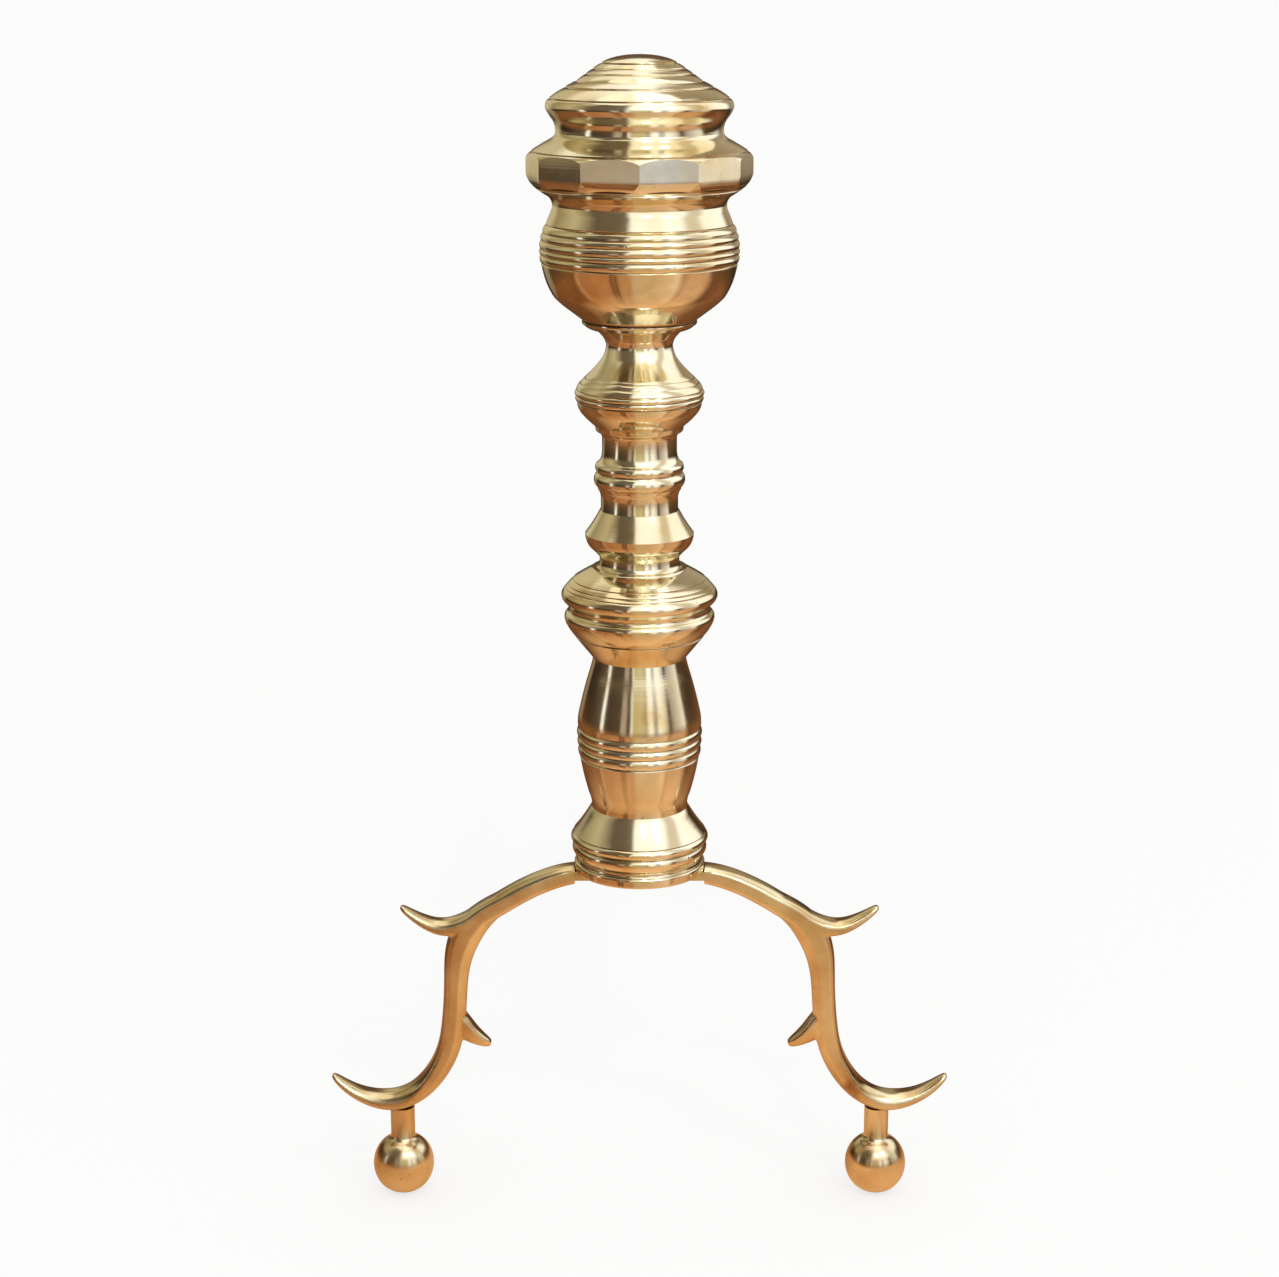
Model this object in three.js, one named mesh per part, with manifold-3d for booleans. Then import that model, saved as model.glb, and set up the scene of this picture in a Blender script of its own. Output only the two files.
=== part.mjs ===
// An andiron: a ring-turned brass column on two branching spurred legs with ball feet,
// held together by an iron tie rod, and an iron billet bar with a rear leg that carries the logs.
// Millimetres, +Z up. The front faces -Y and the billet bar runs back along +Y.

import * as THREE from 'three';
import { mergeVertices } from 'three/addons/utils/BufferGeometryUtils.js';
import Module from 'manifold-3d';

const wasm = await Module();
wasm.setup();

// ---------------------------------------------------------------- driving dimensions

// Fits shared by all the pieces
const fitGap = 0.3; // clearance round anything that slips into or over something else
const spigotRise = 3; // height of the ring that centres each casting in the one above it
const spigotWall = 2.5;
const spigotLedge = 3; // width of the seat that each casting leaves outside its spigot
const castWall = 3.2; // wall of the hollow brass castings

// Radius of the column where each casting sits on the one below it
const seam = {
  plinth: 27.4,
  barrel: 21.1,
  disc: 20.1,
  lowerKnob: 18.4,
  lowerSleeve: 16.9,
  upperSleeve: 18,
  upperKnob: 18.8,
  collar: 18.8,
  bowl: 23.4,
  belt: 36.2,
  dome: 34.6,
};

const basePlate = { underside: 156.5, thickness: 4.5, radius: 28.8, edgeRound: 1.4 };

const plinth = {
  height: 25,
  coveHeight: 3.5,
  coveDepth: 0.9,
  grooveRadius: 28.7,
  lowerBeadRadius: 29.4,
  lowerBeadTop: 8.2,
  upperBeadRadius: 30,
  upperBeadTop: 13,
};

const barrel = {
  height: 67.75,
  bandRadius: 26.2,
  bandBottom: 23.4,
  bandTop: 36.2,
  beads: 3,
  beadProud: 0.6,
  shoulderRadius: 26.8,
};

const disc = {
  height: 40,
  grooveRadius: 30.6,
  grooveHeight: 21.7,
  lowerRimRadius: 32.2,
  lowerRimHeight: 17.4,
  upperRimRadius: 33.5,
  upperRimHeight: 28,
};

const lowerKnob = { height: 25, neckRadius: 17.1, neckHeight: 3.2, rimRadius: 23.2, rimHeight: 14.2 };

const lowerSleeve = { height: 16.25, shaftRadius: 16.5, shaftTop: 5.6, beadRadius: 19.3, beadHeight: 12.2 };

const upperSleeve = {
  height: 20,
  beadRadius: 18.8,
  beadHeight: 2.6,
  shaftRadius: 15.9,
  shaftBottom: 8.8,
  shaftTop: 15.2,
};

const upperKnob = {
  height: 40.75,
  rimRadius: 27.3,
  rimHeight: 14,
  reedBottom: 8.2,
  reedProud: 0.3,
  neckRadius: 14,
  neckHeight: 34,
};

const bowlCollar = { height: 3.5, radius: 24.2, underRadius: 20.8 };

const bowl = {
  height: 48.25,
  bellyRadius: 41.4,
  reedBottom: 23.6,
  reedTop: 40,
  reeds: 5,
  reedProud: 0.3,
};

const belt = {
  height: 29.25,
  radius: 47.4,
  widestHeight: 16.6,
  facets: 12,
  acrossFacets: 90.8,
};

const dome = {
  height: 31.25,
  rimRadius: 38.9,
  rimHeight: 10.8,
  capRadius: 22.2,
  capHeight: 8,
  bossRadius: 9,
  bossClearance: 2.5, // from the dome's seat up to the end of its boss
};

const tieRod = { radius: 4.5, headRadius: 7.4, headHeight: 3, threadLength: 18 };

// Each bar of a leg is a line of stations: reach from the column's axis, height above the foot's
// seat, thickness, width from front to back. They are drawn for a leg of the given rise from the
// foot's seat to the base plate, and are stretched where that differs.
const leg = {
  rise: 115,
  arch: [
    [26, 112.8, 8, 11],
    [34, 111.7, 8.6, 12],
    [46, 107.5, 9, 12],
    [58, 100.8, 9.4, 12],
    [69, 94.1, 9, 12],
    [79, 88.8, 8.2, 12],
    [88, 86.5, 6.8, 12],
    [95, 88.9, 5, 10],
    [101, 92.1, 3.2, 6.5],
    [106.3, 96.1, 1.4, 3],
  ],
  stem: [
    [62, 98.7, 7, 11],
    [70.5, 91.5, 9.6, 12],
    [76.5, 83, 11.2, 12],
    [80.6, 73.2, 11, 12],
    [82.3, 60.5, 10, 12],
    [83, 48.5, 10.6, 12],
    [84.6, 34.5, 10.6, 12],
    [88, 24, 9.8, 13],
    [94, 14.1, 9, 14.5],
    [101, 7.1, 8.8, 15],
    [109, 3.7, 8.8, 15],
    [118.5, 3.7, 7.4, 14],
    [127, 6.2, 5.6, 11.5],
    [133.5, 10.1, 4, 8],
    [139.4, 15.1, 1.4, 3],
  ],
  thorn: [
    [85, 41, 11, 8],
    [79.5, 37.9, 9.4, 8],
    [73.6, 34.5, 5, 6.5],
    [67.8, 31.5, 1.4, 3],
  ],
  // Half of the bar's section, from its outer face to its inner one, as fractions of half the
  // thickness and half the width. The inner face is narrow, between two broad chamfers.
  section: [
    [1, 0.8],
    [0.8, 1],
    [-0.1, 1],
    [-1, 0.45],
  ],
  tongueWidth: 11,
  tongueThickness: 4.2,
  tongueRoom: 2.8, // between the tongue's end and the billet bar's palm
};

const foot = {
  reach: 108, // from the column's axis to the ball's axis
  ballRadius: 13.75,
  ballFlat: 0.5, // worn flat under the ball
  stemRadius: 5.5,
  seatHeight: 41.5, // flat under the leg where the foot's stem meets it
  tenonRadius: 2.5,
  tenonLength: 3.5,
};

const rivet = { radius: 2.4, headRadius: 4, headHeight: 1.7, inset: 10.2 };

const billetBar = {
  width: 16,
  height: 16,
  rise: 3, // top of the bar above the base plate's underside
  palmWidth: 20,
  palmThickness: 5,
  taperStart: 33,
  taperEnd: 54,
  end: 442,
  chamfer: 1,
};

const rearLeg = {
  position: 431,
  topWidth: 15,
  topDepth: 17,
  ankleWidth: 11,
  ankleDepth: 12,
  footRadius: 17,
  footThickness: 5,
  tenonRadius: 4,
  section: [
    [1, 0.7],
    [0.7, 1],
    [-0.7, 1],
    [-1, 0.7],
  ],
};

// Sides of the turned pieces
const wideSides = 24;
const slenderSides = 20;
const pinSides = 12;

// ---------------------------------------------------------------- heights that follow

const plinthSeat = basePlate.underside + basePlate.thickness;
const barrelSeat = plinthSeat + plinth.height;
const discSeat = barrelSeat + barrel.height;
const lowerKnobSeat = discSeat + disc.height;
const lowerSleeveSeat = lowerKnobSeat + lowerKnob.height;
const upperSleeveSeat = lowerSleeveSeat + lowerSleeve.height;
const upperKnobSeat = upperSleeveSeat + upperSleeve.height;
const collarSeat = upperKnobSeat + upperKnob.height;
const bowlSeat = collarSeat + bowlCollar.height;
const beltSeat = bowlSeat + bowl.height;
const domeSeat = beltSeat + belt.height;
const rodTop = domeSeat + dome.bossClearance + tieRod.threadLength;
const tongueTop = basePlate.underside - fitGap;
const tongueBottom = tongueTop - leg.tongueThickness;
const rivetReach = basePlate.radius - rivet.inset;
const palmBottom = basePlate.underside - billetBar.palmThickness;
const barTop = basePlate.underside + billetBar.rise;
const barBottom = barTop - billetBar.height;

// ---------------------------------------------------------------- finishes

const polishedBrass = new THREE.MeshStandardMaterial({ color: 0xd2a24c, roughness: 0.18, metalness: 1 });
const castBrass = new THREE.MeshStandardMaterial({ color: 0xc39346, roughness: 0.28, metalness: 1 });
const forgedIron = new THREE.MeshStandardMaterial({ color: 0x3b3733, roughness: 0.7, metalness: 1 });

// ---------------------------------------------------------------- solids and booleans

// A closed geometry as a solid that can be cut and joined.
function solidOf(geometry) {
  const bare = geometry.clone();
  bare.deleteAttribute('normal');
  bare.deleteAttribute('uv');
  const merged = mergeVertices(bare, 1e-4);
  const corners = merged.index.array;
  const kept = [];
  for (let i = 0; i < corners.length; i += 3) {
    const [a, b, c] = [corners[i], corners[i + 1], corners[i + 2]];
    if (a !== b && b !== c && c !== a) kept.push(a, b, c);
  }
  return new wasm.Manifold(new wasm.Mesh({
    numProp: 3,
    vertProperties: new Float32Array(merged.attributes.position.array),
    triVerts: new Uint32Array(kept),
  }));
}

function geometryOf(solid) {
  const mesh = solid.getMesh();
  const geometry = new THREE.BufferGeometry();
  geometry.setAttribute('position', new THREE.BufferAttribute(new Float32Array(mesh.vertProperties), 3));
  geometry.setIndex(new THREE.BufferAttribute(new Uint32Array(mesh.triVerts), 1));
  geometry.computeVertexNormals();
  return geometry;
}

function piece(name, geometry, material, height = 0) {
  const mesh = new THREE.Mesh(geometry, material);
  mesh.name = name;
  mesh.position.z = height;
  return mesh;
}

// ---------------------------------------------------------------- turned work

const point = (radius, height) => new THREE.Vector2(radius, height);

// A closed outline of [radius, height] points turned about +Z.
function turn(outline, sides) {
  return new THREE.LatheGeometry(outline, sides).rotateX(Math.PI / 2);
}

// A round pin or a plain disc, as a solid.
function pin(radius, bottom, top, x = 0, y = 0, sides = pinSides) {
  const cylinder = new THREE.CylinderGeometry(radius, radius, top - bottom, sides);
  return solidOf(cylinder.rotateX(Math.PI / 2).translate(x, y, (top + bottom) / 2));
}

// Rounds a bead from the path's last point up to a radius and height.
function bead(path, radius, height, proud) {
  const from = path.currentPoint;
  path.quadraticCurveTo((from.x + radius) / 2 + 2 * proud, (from.y + height) / 2, radius, height);
}

const spigotRadius = (seamRadius) => seamRadius - spigotLedge;
const boreRadius = (seamRadius) => spigotRadius(seamRadius) - spigotWall;

// One hollow casting of the column. Its outside climbs from the seam below to the seam above and its
// hollow comes back down. A spigot on top centres the next casting, and a socket underneath takes
// the spigot of the one below.
function casting({ outside, hollow = [], seamBelow, seamAbove, height, steps = 3, sides = slenderSides }) {
  const socket = spigotRadius(seamBelow) + fitGap;
  const socketTop = spigotRise + fitGap;
  const loop = [
    ...outside.getPoints(steps),
    point(spigotRadius(seamAbove), height),
    point(spigotRadius(seamAbove), height + spigotRise),
    point(boreRadius(seamAbove), height + spigotRise),
    ...hollow,
    point(boreRadius(seamBelow), socketTop),
    point(socket, socketTop),
    point(socket, 0),
  ];
  loop.push(loop[0].clone());
  return turn(loop, sides);
}

function makeBasePlate() {
  const { thickness, radius, edgeRound } = basePlate;
  const rodHole = tieRod.radius + fitGap;
  const bore = boreRadius(seam.plinth);
  const edge = new THREE.Path();
  edge.moveTo(rodHole, 0);
  edge.lineTo(radius - edgeRound, 0);
  edge.quadraticCurveTo(radius, 0, radius, edgeRound);
  edge.lineTo(radius, thickness - edgeRound);
  edge.quadraticCurveTo(radius, thickness, radius - edgeRound, thickness);
  const outline = [
    ...edge.getPoints(1),
    point(spigotRadius(seam.plinth), thickness),
    point(spigotRadius(seam.plinth), thickness + spigotRise),
    point(bore, thickness + spigotRise),
    point(bore, thickness),
    point(rodHole, thickness),
    point(rodHole, 0),
  ];
  let plate = solidOf(turn(outline, wideSides));
  for (const side of [1, -1]) {
    plate = plate.subtract(pin(rivet.radius + fitGap, -thickness, thickness * 2, side * rivetReach));
  }
  return geometryOf(plate);
}

function makePlinth() {
  const {
    height, coveHeight, coveDepth, grooveRadius, lowerBeadRadius, lowerBeadTop, upperBeadRadius, upperBeadTop,
  } = plinth;
  const outside = new THREE.Path();
  outside.moveTo(seam.plinth, 0);
  outside.quadraticCurveTo(seam.plinth - coveDepth, coveHeight / 2, grooveRadius, coveHeight);
  bead(outside, grooveRadius + 0.2, lowerBeadTop, lowerBeadRadius - grooveRadius);
  bead(outside, grooveRadius + 0.5, upperBeadTop, upperBeadRadius - grooveRadius);
  outside.quadraticCurveTo(seam.barrel + 4, height - 6, seam.barrel, height);
  const hollow = [point(grooveRadius - castWall, lowerBeadTop)];
  return casting({
    outside, hollow, height, seamBelow: seam.plinth, seamAbove: seam.barrel, sides: wideSides,
  });
}

function makeBarrel() {
  const { height, bandRadius, bandBottom, bandTop, beads, beadProud, shoulderRadius } = barrel;
  const outside = new THREE.Path();
  outside.moveTo(seam.barrel, 0);
  outside.quadraticCurveTo(seam.barrel - 0.1, 2.6, seam.barrel + 1.2, 6.3);
  outside.quadraticCurveTo(bandRadius - 1.6, bandBottom * 0.64, bandRadius, bandBottom);
  for (let count = 1; count <= beads; count += 1) {
    bead(outside, bandRadius + 0.1 * count, bandBottom + ((bandTop - bandBottom) * count) / beads, beadProud);
  }
  outside.quadraticCurveTo(shoulderRadius + 0.3, bandTop + 4, shoulderRadius - 1.2, height - 20.5);
  outside.quadraticCurveTo(seam.disc + 3.2, height - 9, seam.disc, height);
  const hollow = [point(bandRadius - castWall, (bandBottom + bandTop) / 2)];
  return casting({ outside, hollow, height, seamBelow: seam.barrel, seamAbove: seam.disc });
}

function makeDoubleDisc() {
  const {
    height, grooveRadius, grooveHeight, lowerRimRadius, lowerRimHeight, upperRimRadius, upperRimHeight,
  } = disc;
  const outside = new THREE.Path();
  outside.moveTo(seam.disc, 0);
  outside.lineTo(lowerRimRadius - 2.8, lowerRimHeight - 5.2);
  outside.quadraticCurveTo(lowerRimRadius + 0.8, lowerRimHeight, grooveRadius, grooveHeight);
  outside.quadraticCurveTo(upperRimRadius - 1.2, grooveHeight + 1.6, upperRimRadius - 0.2, upperRimHeight - 1);
  outside.quadraticCurveTo(upperRimRadius, upperRimHeight + 2.4, upperRimRadius - 4, upperRimHeight + 5.4);
  outside.lineTo(seam.lowerKnob + 1.8, height - 0.2);
  outside.lineTo(seam.lowerKnob, height);
  const hollow = [point(grooveRadius - castWall, grooveHeight)];
  return casting({
    outside, hollow, height, seamBelow: seam.disc, seamAbove: seam.lowerKnob, sides: wideSides,
  });
}

function makeLowerKnob() {
  const { height, neckRadius, neckHeight, rimRadius, rimHeight } = lowerKnob;
  const outside = new THREE.Path();
  outside.moveTo(seam.lowerKnob, 0);
  outside.quadraticCurveTo(neckRadius, neckHeight / 3, neckRadius, neckHeight);
  outside.quadraticCurveTo(neckRadius + 3, neckHeight + 5.6, rimRadius - 0.2, rimHeight - 1.4);
  outside.quadraticCurveTo(rimRadius + 0.2, rimHeight + 1.4, rimRadius - 2.6, height - 5.4);
  outside.quadraticCurveTo(seam.lowerSleeve + 0.8, height - 1.8, seam.lowerSleeve, height);
  return casting({ outside, height, seamBelow: seam.lowerKnob, seamAbove: seam.lowerSleeve, steps: 2 });
}

function makeLowerSleeve() {
  const { height, shaftRadius, shaftTop, beadRadius, beadHeight } = lowerSleeve;
  const outside = new THREE.Path();
  outside.moveTo(seam.lowerSleeve, 0);
  outside.lineTo(shaftRadius, 1.6);
  outside.lineTo(shaftRadius, shaftTop);
  outside.quadraticCurveTo(beadRadius - 1.7, shaftTop + 3, beadRadius - 0.6, beadHeight - 1.6);
  outside.quadraticCurveTo(beadRadius + 0.8, beadHeight + 1, seam.upperSleeve, height);
  return casting({ outside, height, seamBelow: seam.lowerSleeve, seamAbove: seam.upperSleeve });
}

function makeUpperSleeve() {
  const { height, beadRadius, beadHeight, shaftRadius, shaftBottom, shaftTop } = upperSleeve;
  const outside = new THREE.Path();
  outside.moveTo(seam.upperSleeve, 0);
  outside.quadraticCurveTo(beadRadius + 0.5, beadHeight - 0.8, beadRadius - 0.7, beadHeight + 1.4);
  outside.quadraticCurveTo(shaftRadius + 0.4, shaftBottom - 2, shaftRadius, shaftBottom);
  outside.lineTo(shaftRadius, shaftTop);
  outside.quadraticCurveTo(seam.upperKnob - 0.9, shaftTop + 1, seam.upperKnob - 0.4, shaftTop + 3);
  outside.lineTo(seam.upperKnob, height);
  return casting({ outside, height, seamBelow: seam.upperSleeve, seamAbove: seam.upperKnob, steps: 2 });
}

function makeUpperKnob() {
  const { height, rimRadius, rimHeight, reedBottom, reedProud, neckRadius, neckHeight } = upperKnob;
  const outside = new THREE.Path();
  outside.moveTo(seam.upperKnob, 0);
  outside.quadraticCurveTo(rimRadius - 3.4, reedBottom * 0.45, rimRadius - 1.4, reedBottom);
  bead(outside, rimRadius - 0.7, (reedBottom + rimHeight) / 2, reedProud);
  bead(outside, rimRadius - 0.1, rimHeight, reedProud);
  outside.quadraticCurveTo(rimRadius + 0.2, rimHeight + 2.4, rimRadius - 4.3, rimHeight + 6.7);
  outside.quadraticCurveTo(neckRadius + 0.8, neckHeight - 6.6, neckRadius, neckHeight);
  outside.quadraticCurveTo(neckRadius + 0.9, height - 2.6, seam.collar, height);
  const hollow = [
    point(neckRadius - castWall, neckHeight),
    point(boreRadius(seam.upperKnob) + 4, rimHeight),
  ];
  return casting({ outside, hollow, height, seamBelow: seam.upperKnob, seamAbove: seam.collar, steps: 2 });
}

function makeBowlCollar() {
  const { height, radius, underRadius } = bowlCollar;
  const outside = new THREE.Path();
  outside.moveTo(underRadius, 0);
  outside.quadraticCurveTo(radius - 0.6, height * 0.4, radius, height * 0.72);
  outside.lineTo(radius, height);
  return casting({ outside, height, seamBelow: seam.collar, seamAbove: seam.bowl });
}

function makeBowl() {
  const { height, bellyRadius, reedBottom, reedTop, reeds, reedProud } = bowl;
  const base = bellyRadius - reedProud;
  const outside = new THREE.Path();
  outside.moveTo(seam.bowl, 0);
  outside.lineTo(seam.bowl + 1.2, 1.4);
  outside.quadraticCurveTo(base - 8, 7.6, base - 4, 13.2);
  outside.quadraticCurveTo(base - 1, reedBottom - 5, base - 0.2, reedBottom);
  for (let count = 1; count <= reeds; count += 1) {
    const rise = (reedTop - reedBottom) * (count / reeds);
    bead(outside, base - 2 * (count / reeds - 0.3) ** 2 * 2, reedBottom + rise, reedProud);
  }
  outside.quadraticCurveTo(seam.belt + 0.4, height - 4, seam.belt, height);
  const hollow = [
    point(base - castWall, reedTop - castWall * 2),
    point(base - castWall - 1, reedBottom - 4),
    point(boreRadius(seam.bowl), spigotRise * 2),
  ];
  return casting({
    outside, hollow, height, seamBelow: seam.bowl, seamAbove: seam.belt, steps: 2, sides: wideSides,
  });
}

// The belt is turned first and its facets are then cut flat, which leaves them scalloped where
// the flats run out into the turned curve.
function makeBelt() {
  const { height, radius, widestHeight, facets, acrossFacets } = belt;
  const outside = new THREE.Path();
  outside.moveTo(seam.belt, 0);
  outside.quadraticCurveTo(seam.belt + 1, 2.8, radius - 5.2, 6.5);
  outside.quadraticCurveTo(radius - 0.4, 9.8, radius, widestHeight);
  outside.quadraticCurveTo(radius - 0.2, widestHeight + 3.8, radius - 3.4, height - 7.2);
  outside.quadraticCurveTo(seam.dome + 1.2, height - 2.8, seam.dome, height);
  const hollow = [
    point(radius - castWall * 2.2, widestHeight + 1.4),
    point(radius - castWall * 2.2, widestHeight - 3.6),
    point(boreRadius(seam.belt), spigotRise * 2),
  ];
  const turned = casting({
    outside, hollow, height, seamBelow: seam.belt, seamAbove: seam.dome, sides: wideSides,
  });
  const cornerRadius = acrossFacets / 2 / Math.cos(Math.PI / facets);
  return geometryOf(solidOf(turned).intersect(pin(cornerRadius, -height, height * 2, 0, 0, facets)));
}

// The cap closes the column, and a boss inside it takes the thread of the tie rod.
function makeDome() {
  const { height, rimRadius, rimHeight, capRadius, capHeight, bossRadius, bossClearance } = dome;
  const capBottom = height - capHeight;
  const socket = spigotRadius(seam.dome) + fitGap;
  const rodHole = tieRod.radius + fitGap;
  const holeTop = rodTop - domeSeat + fitGap;
  const outside = new THREE.Path();
  outside.moveTo(seam.dome, 0);
  outside.quadraticCurveTo(seam.dome + 0.2, 3.4, rimRadius - 1, rimHeight - 2.2);
  outside.quadraticCurveTo(rimRadius + 0.7, rimHeight + 0.4, rimRadius - 2.4, rimHeight + 3.7);
  outside.quadraticCurveTo(capRadius + 4.6, capBottom - 3.6, capRadius, capBottom);
  outside.bezierCurveTo(capRadius - 4.6, capBottom + 3.8, capRadius - 10, height, 0, height);
  const outline = [
    ...outside.getPoints(3),
    point(0, holeTop),
    point(rodHole, holeTop),
    point(rodHole, bossClearance),
    point(bossRadius, bossClearance),
    point(bossRadius, height - castWall * 2),
    point(capRadius - castWall, capBottom - castWall),
    point(rimRadius - castWall * 2, rimHeight),
    point(socket, spigotRise + fitGap),
    point(socket, 0),
    point(seam.dome, 0),
  ];
  return turn(outline, wideSides);
}

// ---------------------------------------------------------------- legs and feet

// A bar along a line of stations in the XZ plane.
function sweptBar(stations, steps, halfSection) {
  const spine = new THREE.CatmullRomCurve3(stations.map(([x, z]) => new THREE.Vector3(x, 0, z)));
  const sizes = new THREE.CatmullRomCurve3(
    stations.map(([, , thickness, width]) => new THREE.Vector3(thickness, width, 0)),
  );
  const mirrored = halfSection.map(([across, side]) => [across, -side]).reverse();
  const section = [...mirrored, ...halfSection].reverse();
  const count = section.length;
  const positions = [];
  for (let step = 0; step <= steps; step += 1) {
    const centre = spine.getPoint(step / steps);
    const along = spine.getTangent(step / steps);
    const size = sizes.getPoint(step / steps);
    for (const [across, side] of section) {
      const offset = (across * size.x) / 2;
      positions.push(centre.x - along.z * offset, (side * size.y) / 2, centre.z + along.x * offset);
    }
  }
  const corners = [];
  for (let step = 0; step < steps; step += 1) {
    for (let k = 0; k < count; k += 1) {
      const a = step * count + k;
      const b = step * count + ((k + 1) % count);
      corners.push(a, b, a + count, b, b + count, a + count);
    }
  }
  const last = steps * count;
  for (let k = 1; k < count - 1; k += 1) {
    corners.push(0, k + 1, k, last, last + k, last + k + 1);
  }
  const geometry = new THREE.BufferGeometry();
  geometry.setAttribute('position', new THREE.Float32BufferAttribute(positions, 3));
  geometry.setIndex(corners);
  return solidOf(geometry);
}

// The right leg, in the plane of the column. The left one is the same casting turned half round.
function makeLeg() {
  const stretch = (basePlate.underside - foot.seatHeight) / leg.rise;
  const legBar = (stations, steps) => sweptBar(
    stations.map(([reach, height, ...size]) => [reach, foot.seatHeight + height * stretch, ...size]),
    steps,
    leg.section,
  );
  const tongueInner = billetBar.palmWidth / 2 + leg.tongueRoom;
  const tongueOuter = basePlate.radius + leg.tongueThickness;
  const tongue = new THREE.BoxGeometry(tongueOuter - tongueInner, leg.tongueWidth, leg.tongueThickness);
  tongue.translate((tongueInner + tongueOuter) / 2, 0, (tongueTop + tongueBottom) / 2);

  const plateRoom = pin(basePlate.radius + fitGap, tongueBottom - 10, barrelSeat, 0, 0, wideSides);
  const plinthRoom = pin(plinth.upperBeadRadius + fitGap * 2, plinthSeat - fitGap, barrelSeat, 0, 0, wideSides);
  const tenonHole = pin(
    foot.tenonRadius + fitGap, foot.seatHeight - 1, foot.seatHeight + foot.tenonLength + fitGap, foot.reach,
  );

  return geometryOf(
    legBar(leg.arch, 18)
      .add(legBar(leg.stem, 26))
      .add(legBar(leg.thorn, 5))
      .subtract(plateRoom)
      .subtract(plinthRoom)
      .add(solidOf(tongue))
      .subtract(pin(rivet.radius + fitGap, tongueBottom - 1, tongueTop + 1, rivetReach))
      .subtract(pin(foot.stemRadius + 1, foot.seatHeight - 8, foot.seatHeight, foot.reach))
      .subtract(tenonHole),
  );
}

// Ball, stem and tenon in one turning. It stands on the flat worn under the ball.
function makeFoot() {
  const { ballRadius, ballFlat, stemRadius, tenonRadius, tenonLength, seatHeight } = foot;
  const centre = ballRadius - ballFlat;
  const shoulder = seatHeight - fitGap;
  const ball = new THREE.Path();
  ball.moveTo(0, 0);
  ball.lineTo(Math.sqrt(ballRadius ** 2 - centre ** 2), 0);
  ball.absarc(0, centre, ballRadius, -Math.asin(centre / ballRadius), Math.acos(stemRadius / ballRadius));
  const outline = [
    ...ball.getPoints(4),
    point(stemRadius, shoulder),
    point(tenonRadius, shoulder),
    point(tenonRadius, shoulder + tenonLength),
    point(0, shoulder + tenonLength),
  ];
  return turn(outline, slenderSides);
}

// Round head below the leg's tongue, shank up through tongue and plate.
function makeRivet() {
  const { radius, headRadius, headHeight } = rivet;
  const seat = tongueBottom - fitGap;
  return turn([
    point(0, seat - headHeight),
    point(headRadius * 0.65, seat - headHeight * 0.8),
    point(headRadius, seat),
    point(radius, seat),
    point(radius, plinthSeat),
    point(0, plinthSeat),
  ], pinSides);
}

// ---------------------------------------------------------------- ironwork

// Countersunk head under the bar's palm, plain shank up through the column into the dome's boss.
function makeTieRod() {
  const { radius, headRadius, headHeight } = tieRod;
  return turn([
    point(0, palmBottom),
    point(headRadius, palmBottom),
    point(radius, palmBottom + headHeight),
    point(radius, rodTop - 1),
    point(radius - 1, rodTop),
    point(0, rodTop),
  ], pinSides);
}

function makeBilletBar() {
  const { width, palmWidth, palmThickness, taperStart, taperEnd, end, chamfer } = billetBar;

  const eye = new THREE.Shape();
  eye.moveTo(palmWidth / 2, taperStart + 2);
  eye.lineTo(-palmWidth / 2, taperStart + 2);
  eye.lineTo(-palmWidth / 2, 0);
  eye.absarc(0, 0, palmWidth / 2, Math.PI, 2 * Math.PI, false);
  const palm = new THREE.ExtrudeGeometry(eye, { depth: palmThickness, bevelEnabled: false, curveSegments: 10 });
  palm.translate(0, 0, palmBottom);

  // The bar's side view, in (Y, Z), extruded along X with its corners eased
  const side = new THREE.Shape();
  side.moveTo(taperStart, palmBottom);
  side.quadraticCurveTo(taperStart + 8, palmBottom, taperEnd, barBottom);
  side.lineTo(end, barBottom);
  side.lineTo(end, barTop);
  side.lineTo(taperEnd, barTop);
  side.lineTo(taperStart, basePlate.underside);
  const bar = new THREE.ExtrudeGeometry(side, {
    depth: width - 2 * chamfer,
    bevelThickness: chamfer,
    bevelSize: chamfer,
    bevelOffset: -chamfer,
    bevelSegments: 1,
    curveSegments: 4,
  });
  bar.applyMatrix4(new THREE.Matrix4().makeBasis(
    new THREE.Vector3(0, 1, 0), new THREE.Vector3(0, 0, 1), new THREE.Vector3(1, 0, 0),
  ));
  bar.translate(chamfer - width / 2, 0, 0);

  const rodHole = tieRod.radius + fitGap;
  const headHole = tieRod.headRadius + fitGap;
  const countersink = turn([
    point(0, palmBottom - 1),
    point(headHole + 1, palmBottom - 1),
    point(rodHole, palmBottom + tieRod.headHeight),
    point(rodHole, basePlate.underside + 1),
    point(0, basePlate.underside + 1),
  ], slenderSides);

  return geometryOf(
    solidOf(palm)
      .add(solidOf(bar))
      .subtract(solidOf(countersink))
      .subtract(pin(rearLeg.tenonRadius + fitGap, barBottom - 1, barTop + 1, 0, rearLeg.position)),
  );
}

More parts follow.
